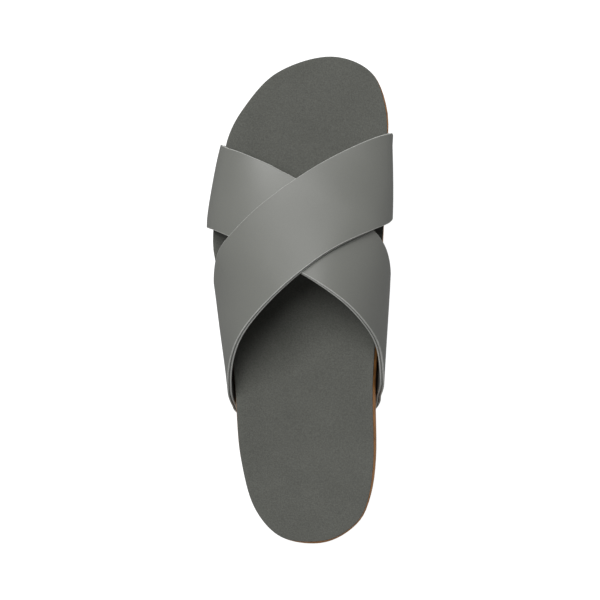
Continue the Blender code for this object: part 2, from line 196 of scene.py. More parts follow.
# Inside of the straps on the last. lateral, medial: widest place as a share of BALL_WIDTH.
# side: height of that place, crown: height of the ridge, as shares of INSTEP_HEIGHT.
# ridge: place of the ridge as a share of BALL_WIDTH. fullness: 2 is an ellipse, less is a roof.
Section = namedtuple("Section", "along lateral medial side ridge crown fullness")
LAST = (
    Section(0.20, -0.370, 0.453, 0.416, 0.04, 1.580, 1.60),
    Section(0.33, -0.397, 0.468, 0.416, 0.05, 1.400, 1.65),
    Section(0.45, -0.443, 0.488, 0.390, 0.07, 1.195, 1.75),
    Section(0.55, -0.483, 0.504, 0.350, 0.08, 1.000, 1.90),
    Section(0.66, -0.520, 0.515, 0.300, -0.02, 0.773, 2.10),
    Section(0.70, -0.507, 0.518, 0.290, -0.07, 0.695, 2.20),
    Section(0.75, -0.483, 0.518, 0.282, -0.10, 0.617, 2.25),
    Section(0.80, -0.454, 0.515, 0.280, -0.11, 0.556, 2.30),
    Section(0.85, -0.415, 0.511, 0.280, -0.11, 0.515, 2.35),
)

# Strap edges. girth: share of the half girth from the crown, lateral negative.
# front, rear: places of the two edges as shares of LENGTH from the heel.
Cut = namedtuple("Cut", "girth front rear")
STRAP_UNDER = (
    Cut(-1.00, 0.814, 0.645),
    Cut(-0.92, 0.815, 0.646),
    Cut(-0.86, 0.817, 0.647),
    Cut(-0.72, 0.819, 0.649),
    Cut(-0.60, 0.816, 0.647),
    Cut(-0.50, 0.810, 0.639),
    Cut(-0.40, 0.804, 0.627),
    Cut(-0.20, 0.786, 0.590),
    Cut(0.00, 0.761, 0.543),
    Cut(0.20, 0.714, 0.494),
    Cut(0.40, 0.655, 0.444),
    Cut(0.50, 0.627, 0.419),
    Cut(0.60, 0.593, 0.385),
    Cut(0.72, 0.553, 0.330),
    Cut(0.79, 0.536, 0.308),
    Cut(0.86, 0.521, 0.292),
    Cut(0.92, 0.513, 0.269),
    Cut(1.00, 0.510, 0.266),
)
STRAP_OVER = (
    Cut(-1.00, 0.499, 0.257),
    Cut(-0.92, 0.503, 0.259),
    Cut(-0.86, 0.509, 0.273),
    Cut(-0.79, 0.518, 0.286),
    Cut(-0.72, 0.529, 0.303),
    Cut(-0.60, 0.559, 0.347),
    Cut(-0.50, 0.595, 0.385),
    Cut(-0.40, 0.624, 0.422),
    Cut(-0.20, 0.678, 0.494),
    Cut(0.00, 0.721, 0.562),
    Cut(0.20, 0.767, 0.604),
    Cut(0.40, 0.807, 0.634),
    Cut(0.50, 0.823, 0.647),
    Cut(0.60, 0.836, 0.657),
    Cut(0.72, 0.844, 0.667),
    Cut(0.86, 0.842, 0.669),
    Cut(0.92, 0.839, 0.667),
    Cut(1.00, 0.837, 0.666),
)

# Where the rows of a strap's grid lie round its girth: closer together in the fold.
GirthRow = namedtuple("GirthRow", "place girth")
STRAP_ROWS = (
    GirthRow(0.00, 0.00),
    GirthRow(0.62, SIDE_GIRTH),
    GirthRow(0.76, FOLD_GIRTH),
    GirthRow(0.93, EDGE_GIRTH),
    GirthRow(1.00, 1.00),
)

# Wavy grooves of the tread: where a block of them starts and ends, as shares of LENGTH.
# The cutters reach down past the outsole by the overcut.
TreadBlock = namedtuple("TreadBlock", "name rear front")
TREAD = (
    TreadBlock("heel", 0.055, 0.285),
    TreadBlock("forefoot", 0.540, 0.945),
)
TREAD_PITCH = 7.5
TREAD_GROOVE = 1.8
TREAD_DEPTH = 1.1
TREAD_OVERCUT = 1.5
TREAD_MARGIN = 7.0
TREAD_WAVE = 1.6
TREAD_WAVE_LENGTH = 15.0


# Smooth curves through the tables

def along_mm(share):
    """Place along Y of a share of the length counted from the heel."""
    return (share - 0.5) * LENGTH


def smooth_step(value):
    """Soft ramp from 0 to 1."""
    value = np.clip(value, 0.0, 1.0)
    return value * value * (3.0 - 2.0 * value)


class Table:
    """A table read as the smoothest curves over its key column."""

    def __init__(self, rows, key):
        self.keys = np.array([getattr(row, key) for row in rows])
        fields = [name for name in rows[0]._fields if name not in (key, "name")]
        self.columns = {name: np.array([getattr(row, name) for row in rows]) for name in fields}
        self.slopes = {name: self.slopes_of(column) for name, column in self.columns.items()}

    def slopes_of(self, values):
        count = len(self.keys)
        spans = np.diff(self.keys)
        steps = np.diff(values) / spans
        system = np.zeros((count, count))
        target = np.zeros(count)
        system[0, :2] = 2.0, 1.0
        target[0] = 3.0 * steps[0]
        system[-1, -2:] = 1.0, 2.0
        target[-1] = 3.0 * steps[-1]
        for i in range(1, count - 1):
            system[i, i - 1:i + 2] = spans[i], 2.0 * (spans[i - 1] + spans[i]), spans[i - 1]
            target[i] = 3.0 * (spans[i] * steps[i - 1] + spans[i - 1] * steps[i])
        return np.linalg.solve(system, target)

    def at(self, name, key):
        values = self.columns[name]
        slopes = self.slopes[name]
        key = np.clip(key, self.keys[0], self.keys[-1])
        i = np.clip(np.searchsorted(self.keys, key) - 1, 0, len(self.keys) - 2)
        span = self.keys[i + 1] - self.keys[i]
        t = (key - self.keys[i]) / span
        near = (1.0 + 2.0 * t) * (1.0 - t) ** 2 * values[i] + t * (1.0 - t) ** 2 * span * slopes[i]
        far = t * t * (3.0 - 2.0 * t) * values[i + 1] - t * t * (1.0 - t) * span * slopes[i + 1]
        return near + far


def closed_curve(points, count):
    """Closed smooth curve through the points, as count points in order."""
    loop = np.vstack([points[-1:], points, points[:2]])
    steps = np.linalg.norm(np.diff(loop[:, :2], axis=0), axis=1) ** 0.5
    knots = np.concatenate([[0.0], np.cumsum(steps)])
    out = []
    for t in np.linspace(knots[1], knots[-2], count, endpoint=False):
        i = min(int(np.searchsorted(knots, t, side="right")) - 1, len(knots) - 3)
        k0, k1, k2, k3 = knots[i - 1:i + 3]
        p0, p1, p2, p3 = loop[i - 1:i + 3]
        a1 = p0 + (p1 - p0) * (t - k0) / (k1 - k0)
        a2 = p1 + (p2 - p1) * (t - k1) / (k2 - k1)
        a3 = p2 + (p3 - p2) * (t - k2) / (k3 - k2)
        b1 = a1 + (a2 - a1) * (t - k0) / (k2 - k0)
        b2 = a2 + (a3 - a2) * (t - k1) / (k3 - k1)
        out.append(b1 + (b2 - b1) * (t - k1) / (k2 - k1))
    return np.array(out)


def outline_curve():
    """Edge of the foot bed in millimetres: x, y, edge height, flare."""
    rows = []
    for mark in OUTLINE:
        rows.append((mark.across * BALL_WIDTH, along_mm(mark.along), mark.rim * HEEL_HEIGHT, mark.flare))
    return closed_curve(np.array(rows), EDGE_SAMPLES)


EDGE = outline_curve()
EDGE_ANGLE = np.unwrap(np.arctan2(EDGE[:, 1] / LENGTH, EDGE[:, 0] / BALL_WIDTH))
BED_TABLE = Table(FOOT_BED, "along")
SIDE_TABLE = Table(MIDSOLE_SIDE, "height")
LAST_TABLE = Table(LAST, "along")
UNDER_TABLE = Table(STRAP_UNDER, "girth")
OVER_TABLE = Table(STRAP_OVER, "girth")


# Form of the sole

def edge_at(angle):
    """Edge of the foot bed in the direction of an angle: x, y, edge height, flare."""
    turn = 2.0 * math.pi
    start = EDGE_ANGLE[0]
    angle = start + (angle - start) % turn
    angles = np.append(EDGE_ANGLE, start + turn)
    return [np.interp(angle, angles, np.append(column, column[0])) for column in EDGE.T]


def edge_normal(angle):
    """Direction out of the foot bed's edge, in plan."""
    x0, y0 = edge_at(angle - ANGLE_STEP)[:2]
    x1, y1 = edge_at(angle + ANGLE_STEP)[:2]
    size = np.hypot(x1 - x0, y1 - y0)
    return (y1 - y0) / size, (x0 - x1) / size


def floor_lift(y):
    """Height of the outsole's underside over the floor."""
    share = y / LENGTH + 0.5
    toe = np.clip((share - SPRING_START) / (1.0 - SPRING_START), 0.0, None)
    arch = np.clip((share - ARCH_REAR) / (ARCH_FRONT - ARCH_REAR), 0.0, 1.0)
    return TOE_SPRING * toe ** 2 + ARCH_LIFT * np.sin(math.pi * arch) ** 2


def seam_height(y):
    """Height of the outsole's top."""
    return floor_lift(y) + OUTSOLE_THICKNESS


def bed_height(y, angle, reach):
    """Height of the foot bed: the middle line, rising to the rim near the edge."""
    middle = BED_TABLE.at("height", y / LENGTH + 0.5) * HEEL_HEIGHT
    _, edge_y, rim, _ = edge_at(angle)
    edge_middle = BED_TABLE.at("height", edge_y / LENGTH + 0.5) * HEEL_HEIGHT
    rise = smooth_step((reach - HOLLOW_START) / (1.0 - HOLLOW_START))
    return middle + (rim - edge_middle) * rise


def sole_plan(angle, reach, out):
    """Plan place at an angle and reach, with the outline grown by a length."""
    x, y, _, _ = edge_at(angle)
    nx, ny = edge_normal(angle)
    return reach * (x + nx * out), reach * (y + ny * out)


def insole_place(x, y, z):
    """How a flat disc is laid as the suede cover: z runs from its top at 0 to its underside at -1."""
    angle, reach = np.arctan2(y, x), np.hypot(x, y)
    px, py = sole_plan(angle, reach, 0.0)
    return px, py, bed_height(py, angle, reach) + z * INSOLE_THICKNESS


def midsole_place(x, y, z):
    """How a flat disc is laid as the cork block, its rows closer together at the top and the bottom."""
    angle, reach = np.arctan2(y, x), np.hypot(x, y)
    share = 0.5 + 0.5 * np.cos(math.pi * np.clip(-z, 0.0, 1.0))
    flare = edge_at(angle)[3]
    px, py = sole_plan(angle, reach, SIDE_TABLE.at("bulge", share) * flare)
    top = bed_height(py, angle, reach) - INSOLE_THICKNESS - GAP
    bottom = seam_height(py) + GAP
    return px, py, bottom + (top - bottom) * share


def outsole_place(x, y, z):
    """How a flat disc is laid as the rubber sole, its side running in towards the floor."""
    angle, reach = np.arctan2(y, x), np.hypot(x, y)
    inset = OUTSOLE_INSET - OUTSOLE_TAPER * z
    flare = edge_at(angle)[3]
    px, py = sole_plan(angle, reach, MIDSOLE_SIDE[0].bulge * flare - inset)
    return px, py, floor_lift(py) + (1.0 + z) * OUTSOLE_THICKNESS


# Form of the straps

def sole_side(y, side):
    """Foot bed's edge at places along the shoe, on the side with that sign: place across, and flare."""
    found = []
    for sign in (-1.0, 1.0):
        rows = EDGE[EDGE[:, 0] * sign > 0.0]
        rows = rows[np.argsort(rows[:, 1])]
        found.append([np.interp(y, rows[:, 1], rows[:, column]) for column in (0, 3)])
    return [np.where(side > 0, found[1][i], found[0][i]) for i in (0, 1)]


def tab_height(y):
    """Height of the upper face of a strap end."""
    return seam_height(y) + TAB_GAP + STRAP_THICKNESS


def last_point(y, girth):
    """Points on the inside of the straps at places along the shoe and around the girth."""
    side = np.where(girth >= 0.0, 1.0, -1.0)
    reach = np.abs(girth)
    share = y / LENGTH + 0.5
    medial, lateral = LAST_TABLE.at("medial", share), LAST_TABLE.at("lateral", share)
    wide_x = np.where(side > 0, medial, lateral) * BALL_WIDTH
    wide_z = LAST_TABLE.at("side", share) * INSTEP_HEIGHT
    ridge_x = LAST_TABLE.at("ridge", share) * BALL_WIDTH
    crown_z = LAST_TABLE.at("crown", share) * INSTEP_HEIGHT
    power = 2.0 / LAST_TABLE.at("fullness", share)

    angles = np.linspace(0.5 * math.pi, 0.0, SECTION_SAMPLES)
    run = np.clip(np.cos(angles), 0.0, 1.0)[None, :] ** power[:, None]
    rise = np.clip(np.sin(angles), 0.0, 1.0)[None, :] ** power[:, None]
    arch_x = ridge_x[:, None] + (wide_x - ridge_x)[:, None] * run
    arch_z = wide_z[:, None] + (crown_z - wide_z)[:, None] * rise
    steps = np.hypot(np.diff(arch_x, axis=1), np.diff(arch_z, axis=1))
    lengths = np.concatenate([np.zeros((len(y), 1)), np.cumsum(steps, axis=1)], axis=1)
    at = np.clip(reach / SIDE_GIRTH, 0.0, 1.0) * lengths[:, -1]
    i = np.clip((lengths < at[:, None]).sum(axis=1) - 1, 0, SECTION_SAMPLES - 2)
    row = np.arange(len(y))
    t = (at - lengths[row, i]) / np.maximum(lengths[row, i + 1] - lengths[row, i], TINY)
    x = arch_x[row, i] + (arch_x[row, i + 1] - arch_x[row, i]) * t
    z = arch_z[row, i] + (arch_z[row, i + 1] - arch_z[row, i]) * t

    edge_x, flare = sole_side(y, side)
    bend_x = edge_x + side * (flare + GAP)
    tab_z = tab_height(y)
    fold_z = tab_z + FOLD_RADIUS
    drop = np.clip((reach - SIDE_GIRTH) / (FOLD_GIRTH - SIDE_GIRTH), 0.0, 1.0)
    below = reach > SIDE_GIRTH
    x = np.where(below, wide_x + (bend_x - wide_x) * smooth_step(drop), x)
    z = np.where(below, wide_z + (fold_z - wide_z) * drop, z)
    turn = 0.5 * math.pi * np.clip((reach - FOLD_GIRTH) / (EDGE_GIRTH - FOLD_GIRTH), 0.0, 1.0)
    inward = np.clip((reach - EDGE_GIRTH) / (1.0 - EDGE_GIRTH), 0.0, None)
    inward = FOLD_RADIUS * (1.0 - np.cos(turn)) + (flare + GAP + TAB_LENGTH - FOLD_RADIUS) * inward
    fold = reach > FOLD_GIRTH
    x = np.where(fold, bend_x - side * inward, x)
    z = np.where(fold, fold_z - FOLD_RADIUS * np.sin(turn), z)
    return np.column_stack([x, y, z])


def last_normal(y, girth):
    """Directions out of the last."""
    around = last_point(y, girth + GIRTH_STEP) - last_point(y, girth - GIRTH_STEP)
    ahead = last_point(y + ALONG_STEP, girth) - last_point(y - ALONG_STEP, girth)
    out = np.cross(around, ahead)
    return out / np.linalg.norm(out, axis=1)[:, None]


def no_lift(y, girth, across):
    """The lower strap lies on the last."""
    return np.zeros(len(y))


def crossing_lift(y, girth, across):
    """How far the upper strap is lifted by the lower one, with its rear edge standing off a little."""
    front = along_mm(UNDER_TABLE.at("front", girth))
    rear = along_mm(UNDER_TABLE.at("rear", girth))
    inside = np.minimum(front - y, y - rear)
    fade = smooth_step((SIDE_GIRTH - np.abs(girth)) / (SIDE_GIRTH - CROSSING_GIRTH))
    climb = (STRAP_THICKNESS + CROSSING_AIR) * smooth_step((inside + CLIMB) / CLIMB) * fade
    near_edge = smooth_step((across - STAND_OFF_START) / (1.0 - STAND_OFF_START))
    near_middle = smooth_step(1.0 - np.abs(girth - STAND_OFF_MIDDLE) / STAND_OFF_REACH)
    return climb + STAND_OFF * near_edge * near_middle


def strap_place(cuts, lift):
    """How a flat grid is laid as a strap: x runs round the girth, y from the rear edge to the front."""
    places = [row.place for row in STRAP_ROWS]
    girths = [row.girth for row in STRAP_ROWS]

    def place(x, y, z):
        girth = np.sign(x) * np.interp(np.abs(x), places, girths)
        across = (1.0 - y) / 2.0
        front = along_mm(cuts.at("front", girth))
        rear = along_mm(cuts.at("rear", girth))
        ahead = front + (rear - front) * across
        out = last_normal(ahead, girth) * lift(ahead, girth, across)[:, None]
        return (last_point(ahead, girth) + out).T
    return place


def pocket_place(cuts, side):
    """How a flat grid is laid as the ceiling of a strap end's pocket: x runs inwards, y to the front."""
    ends = np.array((side * EDGE_GIRTH, side))
    front = along_mm(cuts.at("front", ends).max()) + POCKET_SIDE_ROOM
    rear = along_mm(cuts.at("rear", ends).min()) - POCKET_SIDE_ROOM

    def place(x, y, z):
        ahead = rear + (front - rear) * (y + 1.0) / 2.0
        inward = -POCKET_REACH + (TAB_LENGTH + POCKET_SIDE_ROOM + POCKET_REACH) * (1.0 - side * x) / 2.0
        return sole_side(ahead, side)[0] - side * inward, ahead, tab_height(ahead) + POCKET_ROOM
    return place


def groove_place(middle):
    """How a flat grid is laid as the roof of one wavy tread groove."""
    def place(x, y, z):
        rest = np.full(len(x), middle)
        low = sole_side(rest, np.full(len(x), -1.0))[0] + TREAD_MARGIN
        high = sole_side(rest, np.full(len(x), 1.0))[0] - TREAD_MARGIN
        px = low + (high - low) * (x + 1.0) / 2.0
        wave = TREAD_WAVE * np.sin(2.0 * math.pi * px / TREAD_WAVE_LENGTH)
        py = middle + wave + y * TREAD_GROOVE / 2.0
        return px, py, floor_lift(py) + TREAD_DEPTH
    return place


# Hand tools

def new_piece(name):
    """Name the primitive that was just added."""
    piece = bpy.context.object
    piece.name = name
    piece.data.name = name
    return piece


def add_grid(name, across, along):
    """Flat square grid, two units wide, ready to be laid."""
    bpy.ops.object.select_all(action="DESELECT")
    bpy.ops.mesh.primitive_grid_add(x_subdivisions=across, y_subdivisions=along, size=2.0)
    return new_piece(name)


def add_disc(name):
    """Flat round disc of rings round a grid, one unit in reach, ready to be laid."""
    bpy.ops.object.select_all(action="DESELECT")
    bpy.ops.mesh.primitive_circle_add(vertices=RIM_POINTS, radius=1.0, fill_type="NOTHING")
    piece = new_piece(name)
    bpy.ops.object.mode_set(mode="EDIT")
    bpy.ops.mesh.select_mode(type="EDGE")
    bpy.ops.mesh.select_all(action="SELECT")
    for outer, inner in zip(RING_REACH, RING_REACH[1:]):
        shrink = inner / outer
        bpy.ops.mesh.extrude_edges_move()
        bpy.ops.transform.resize(value=(shrink, shrink, 1.0))
    bpy.ops.mesh.fill_grid(span=RIM_POINTS // 4)
    bpy.ops.object.mode_set(mode="OBJECT")
    return piece


def thicken_disc(piece, rows):
    """Draw the disc down one unit into a slab with rows round its side."""
    bpy.ops.object.mode_set(mode="EDIT")
    bpy.ops.mesh.select_mode(type="FACE")
    bpy.ops.mesh.select_all(action="SELECT")
    bpy.ops.mesh.extrude_region_move(TRANSFORM_OT_translate={"value": (0.0, 0.0, -1.0)})
    bpy.ops.mesh.select_all(action="SELECT")
    bpy.ops.mesh.normals_make_consistent(inside=False)
    bpy.ops.object.mode_set(mode="OBJECT")
    if rows > 1:
        heights = vertex_places(piece)[:, 2]
        ends = edge_ends(piece)
        drops = np.abs(heights[ends[:, 0]] - heights[ends[:, 1]])
        pick_edges(piece, drops > 0.5 * drops.max())
        bpy.ops.mesh.subdivide(number_cuts=rows - 1)
        bpy.ops.object.mode_set(mode="OBJECT")


def vertex_places(piece):
    """Vertex places as an array of rows."""
    flat = np.empty(len(piece.data.vertices) * 3)
    piece.data.vertices.foreach_get("co", flat)
    return flat.reshape(-1, 3)


def edge_ends(piece):
    """The two vertex numbers of each edge."""
    flat = np.empty(len(piece.data.edges) * 2, dtype=int)
    piece.data.edges.foreach_get("vertices", flat)
    return flat.reshape(-1, 2)


def face_normals(piece):
    """Face directions as an array of rows."""
    flat = np.empty(len(piece.data.polygons) * 3)
    piece.data.polygons.foreach_get("normal", flat)
    return flat.reshape(-1, 3)


def face_finishes(piece):
    """Number of the finish on each face."""
    flat = np.empty(len(piece.data.polygons), dtype=int)
    piece.data.polygons.foreach_get("material_index", flat)
    return flat


def border_edges(piece, finish):
    """Edges between faces of that finish and a lower one."""
    low = np.full(len(piece.data.edges), len(piece.data.materials))
    high = np.full(len(piece.data.edges), -1)
    for polygon in piece.data.polygons:
        for loop in polygon.loop_indices:
            edge = piece.data.loops[loop].edge_index
            low[edge] = min(low[edge], polygon.material_index)
            high[edge] = max(high[edge], polygon.material_index)
    return (high == finish) & (low < finish)


def pick_none(piece, kind):
    """Leave nothing selected in the piece's mesh, and pick by vertex, edge or face from here on."""
    bpy.ops.object.select_all(action="DESELECT")
    piece.select_set(True)
    bpy.context.view_layer.objects.active = piece
    bpy.ops.object.mode_set(mode="EDIT")
    bpy.ops.mesh.select_mode(type=kind)
    bpy.ops.mesh.select_all(action="DESELECT")
    bpy.ops.object.mode_set(mode="OBJECT")


def pick_faces(piece, wanted):
    """Go into edit mode with the wanted faces selected."""
    pick_none(piece, "FACE")
    piece.data.polygons.foreach_set("select", wanted)
    bpy.ops.object.mode_set(mode="EDIT")


def pick_edges(piece, wanted):
    """Go into edit mode with the wanted edges selected."""
    pick_none(piece, "EDGE")
    piece.data.edges.foreach_set("select", wanted)
    bpy.ops.object.mode_set(mode="EDIT")


def lay(piece, place):
    """Move every vertex of a flat start to its place on the shoe."""
    x, y, z = place(*vertex_places(piece).T)
    laid = (np.column_stack([x, y, z]) + (CENTRE_X, CENTRE_Y, 0.0)) * MM
    piece.data.vertices.foreach_set("co", laid.ravel())
    piece.data.update()


def add_modifier(piece, kind, **settings):
    """Add a modifier with its settings and apply it."""
    bpy.ops.object.select_all(action="DESELECT")
    piece.select_set(True)
    bpy.context.view_layer.objects.active = piece
    modifier = piece.modifiers.new(kind.lower(), kind)
    for name, value in settings.items():
        setattr(modifier, name, value)
    bpy.ops.object.modifier_apply(modifier=modifier.name)


def cut_away(piece, cutter):
    """Take a cutter's volume out of a piece and remove the cutter."""
    add_modifier(piece, "BOOLEAN", operation="DIFFERENCE", solver="EXACT", object=cutter)
    bpy.data.objects.remove(cutter, do_unlink=True)


def round_edges(piece, wanted, width, segments, finish):
    """Bevel the wanted edges and give the bevel a finish."""
    pick_edges(piece, wanted)
    bpy.ops.mesh.bevel(
        offset=width * MM, segments=segments, profile=0.5, affect="EDGES", material=finish
    )
    bpy.ops.object.mode_set(mode="OBJECT")


def smooth_shade(piece, angle):
    """Smooth shading that keeps edges sharper than the angle."""
    bpy.ops.object.select_all(action="DESELECT")
    piece.select_set(True)
    bpy.context.view_layer.objects.active = piece
    bpy.ops.object.shade_smooth_by_angle(angle=math.radians(angle))


def put_finishes(piece, *finishes):
    """Give a piece its finishes in order."""
    piece.data.materials.clear()
    for finish in finishes:
        piece.data.materials.append(finish)


def belongs(piece, node):
    """The piece rides on the shoe and stands for a solid, which is hidden."""
    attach(piece, "root")
    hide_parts(node)


# Finishes

# Sockets of a mix node that mixes colours.
MIX_BASE, MIX_TOP, MIX_RESULT = 6, 7, 2


class Finish:
    """A material with its shader, to which textures are wired."""

    def __init__(self, name, roughness, specular):
        self.material = bpy.data.materials.new(name)
        self.material.use_nodes = True
        self.tree = self.material.node_tree
        self.shader = self.tree.nodes["Principled BSDF"]
        self.shader.inputs["Roughness"].default_value = roughness
        self.shader.inputs["Specular IOR Level"].default_value = specular
        self.places = self.add("ShaderNodeTexCoord").outputs["Object"]

    def add(self, kind, **settings):
        node = self.tree.nodes.new(kind)
        for name, value in settings.items():
            setattr(node, name, value)
        return node

    def link(self, source, target):
        self.tree.links.new(source, target)

    def stretched(self, scale):
        """Object places drawn out along the axes."""
        mapping = self.add("ShaderNodeMapping")
        mapping.inputs["Scale"].default_value = scale
        self.link(self.places, mapping.inputs["Vector"])
        return mapping.outputs["Vector"]

    def noise(self, grain_mm, detail=2.0, places=None, roughness=0.5):
        """Soft noise with grains of about that size."""
        node = self.add("ShaderNodeTexNoise")
        node.inputs["Scale"].default_value = 1.0 / (grain_mm * MM)
        node.inputs["Detail"].default_value = detail
        node.inputs["Roughness"].default_value = roughness
        self.link(places or self.places, node.inputs["Vector"])
        return node.outputs["Fac"]

    def cells(self, size_mm, feature="F1", places=None):
        """Cell pattern with cells of about that size."""
        node = self.add("ShaderNodeTexVoronoi", feature=feature)
        node.inputs["Scale"].default_value = 1.0 / (size_mm * MM)
        self.link(places or self.places, node.inputs["Vector"])
        return node

    def ramp(self, value, *stops):
        """Colours along a value, as (place, colour) stops."""
        node = self.add("ShaderNodeValToRGB")
        band = node.color_ramp.elements
        while len(band) < len(stops):
            band.new(0.5)
        for element, (place, colour) in zip(band, stops):
            element.position = place
            element.color = (*colour, 1.0)
        self.link(value, node.inputs["Fac"])
        return node.outputs["Color"]

    def mix(self, kind, amount, base, top):
        """Blend two colours by a fixed amount."""
        node = self.add("ShaderNodeMix", data_type="RGBA", blend_type=kind)
        node.inputs["Factor"].default_value = amount
        self.link(base, node.inputs[MIX_BASE])
        self.link(top, node.inputs[MIX_TOP])
        return node.outputs[MIX_RESULT]

    def between(self, value, low, high):
        """A value from 0 to 1 moved to a range."""
        node = self.add("ShaderNodeMapRange")
        node.inputs["To Min"].default_value = low
        node.inputs["To Max"].default_value = high
        self.link(value, node.inputs["Value"])
        return node.outputs["Result"]

    def bump(self, height, strength, depth_mm, below=None):
        """Raise the surface by a pattern."""
        node = self.add("ShaderNodeBump")
        node.inputs["Strength"].default_value = strength
        node.inputs["Distance"].default_value = depth_mm * MM
        self.link(height, node.inputs["Height"])
        if below is not None:
            self.link(below, node.inputs["Normal"])
        return node.outputs["Normal"]

    def colour(self, source):
        self.link(source, self.shader.inputs["Base Color"])

    def roughness(self, source):
        self.link(source, self.shader.inputs["Roughness"])

    def normal(self, source):
        self.link(source, self.shader.inputs["Normal"])


def shade(colour, amount):
    """A colour made lighter or darker."""
    return tuple(channel * amount for channel in colour)


def plain_grey(level):
    """A grey without a tint."""
    return (level, level, level)


LEATHER_GREY = (0.130, 0.133, 0.121)
LINING_GREY = (0.100, 0.101, 0.095)
CUT_EDGE_GREY = (0.310, 0.314, 0.298)
# Darker grey of the groove between the strap's two layers: painted shade in the groove, on top of the
# shade of its real depth.
GROOVE_SHADE_GREY = (0.120, 0.121, 0.114)
SUEDE_GREY = (0.084, 0.086, 0.077)
SUEDE_CUT = (0.060, 0.056, 0.048)
CORK_TAN = (0.350, 0.155, 0.042)
CORK_DARK = (0.150, 0.058, 0.016)
RUBBER_GREY = (0.050, 0.049, 0.046)
WHITE = (1.0, 1.0, 1.0)


def leather_finish(name, grey, roughness, specular):
    """Smooth satin leather with a very fine grain."""
    finish = Finish(name, roughness, specular)
    patches = finish.noise(grain_mm=38.0, detail=3.0)
    clouds = finish.ramp(patches, (0.30, shade(grey, 0.975)), (0.70, shade(grey, 1.025)))
    pores = finish.noise(grain_mm=0.55, detail=4.0)
    speckle = finish.ramp(pores, (0.30, plain_grey(0.455)), (0.70, plain_grey(0.545)))
    finish.colour(finish.mix("OVERLAY", 0.55, clouds, speckle))
    wear = finish.noise(grain_mm=6.0, detail=3.0)
    finish.roughness(finish.between(wear, roughness - 0.05, roughness + 0.05))
    cells = finish.cells(0.75, "SMOOTH_F1")
    grain = finish.bump(cells.outputs["Distance"], strength=0.10, depth_mm=0.10)
    finish.normal(finish.bump(pores, strength=0.10, depth_mm=0.06, below=grain))
    return finish.material


def suede_finish(name, grey):
    """Napped suede: fine speckle, cloudy strokes and a soft sheen."""
    finish = Finish(name, roughness=0.95, specular=0.15)
    finish.shader.inputs["Sheen Weight"].default_value = 0.12
    finish.shader.inputs["Sheen Roughness"].default_value = 0.6
    patches = finish.noise(grain_mm=24.0, detail=4.0)
    strokes = finish.ramp(patches, (0.28, shade(grey, 0.94)), (0.72, shade(grey, 1.06)))
    nap = finish.noise(grain_mm=0.8, detail=5.0, roughness=0.65)
    speckle = finish.ramp(nap, (0.25, plain_grey(0.26)), (0.75, plain_grey(0.74)))
    finish.colour(finish.mix("OVERLAY", 0.60, strokes, speckle))
    finish.normal(finish.bump(nap, strength=0.45, depth_mm=0.22))
    return finish.material


def cut_finish(name, colour):
    """Raw cut edge with a fibrous look."""
    finish = Finish(name, roughness=0.85, specular=0.2)
    fibres = finish.noise(grain_mm=0.5, detail=4.0)
    finish.colour(finish.ramp(fibres, (0.3, shade(colour, 0.75)), (0.7, shade(colour, 1.3))))
    finish.normal(finish.bump(fibres, strength=0.4, depth_mm=0.15))
    return finish.material


def cork_finish(name):
    """Cork block: drawn-out tan grain with darker flecks."""
    finish = Finish(name, roughness=0.62, specular=0.35)
    drawn = finish.stretched((1.0, 1.0, 5.0))
    grain = finish.noise(grain_mm=9.0, detail=5.0, places=drawn, roughness=0.6)
    dark, light = shade(CORK_TAN, 0.72), shade(CORK_TAN, 1.18)
    tan = finish.ramp(grain, (0.30, dark), (0.52, CORK_TAN), (0.75, light))
    flecks = finish.cells(1.7, "F1", finish.stretched((1.0, 1.0, 1.8)))
    tones = finish.ramp(flecks.outputs["Color"], (0.10, plain_grey(0.36)), (0.60, plain_grey(0.55)))
    speckled = finish.mix("OVERLAY", 0.45, tan, tones)
    dots = finish.ramp(finish.noise(grain_mm=2.2, detail=3.0), (0.34, CORK_DARK), (0.42, WHITE))
    finish.colour(finish.mix("MULTIPLY", 0.30, speckled, dots))
    finish.roughness(finish.between(grain, 0.55, 0.72))
    finish.normal(finish.bump(flecks.outputs["Distance"], strength=0.25, depth_mm=0.15))
    return finish.material


def rubber_finish(name):
    """Dull moulded rubber."""
    finish = Finish(name, roughness=0.72, specular=0.35)
    dust = finish.noise(grain_mm=14.0, detail=4.0)
    finish.colour(finish.ramp(dust, (0.30, shade(RUBBER_GREY, 0.85)), (0.72, shade(RUBBER_GREY, 1.25))))
    finish.roughness(finish.between(dust, 0.66, 0.80))
    finish.normal(finish.bump(finish.noise(grain_mm=0.6, detail=3.0), strength=0.25, depth_mm=0.10))
    return finish.material


# Pieces

def make_strap(name, cuts, lift, finishes):
    """Two layers of leather glued face to face, laid over the last, with a groove round the edge whose
    darker grey is painted shade.
    """
    strap = add_grid(name, STRAP_AROUND, STRAP_ACROSS)
    put_finishes(strap, *finishes)
    lay(strap, strap_place(cuts, lift))
    add_modifier(strap, "SUBSURF", levels=1, render_levels=1, boundary_smooth="PRESERVE_CORNERS")
    add_modifier(
        strap, "SOLIDIFY", thickness=STRAP_THICKNESS * MM, offset=1.0,
        material_offset=LINING, material_offset_rim=CUT_EDGE,
    )
    pick_faces(strap, face_finishes(strap) == CUT_EDGE)
    bead = (1.0 - GROOVE_SHARE) / 2.0 * STRAP_THICKNESS
    bpy.ops.mesh.inset(thickness=(bead - GROOVE_WALL) * MM, depth=0.0, use_boundary=True)
    # The groove faces take the darker grey: painted shade in the groove.
    strap.active_material_index = GROOVE_SHADE_FINISH
    bpy.ops.object.material_slot_assign()
    bpy.ops.mesh.inset(thickness=GROOVE_WALL * MM, depth=-GROOVE_DEPTH * MM, use_boundary=True)
    bpy.ops.object.mode_set(mode="OBJECT")
    round_edges(strap, border_edges(strap, CUT_EDGE), EDGE_ROUND, EDGE_SEGMENTS, CUT_EDGE)
    round_edges(strap, border_edges(strap, GROOVE_SHADE_FINISH), GROOVE_ROUND, GROOVE_SEGMENTS, CUT_EDGE)
    smooth_shade(strap, STRAP_SHARP)
    belongs(strap, "upper")


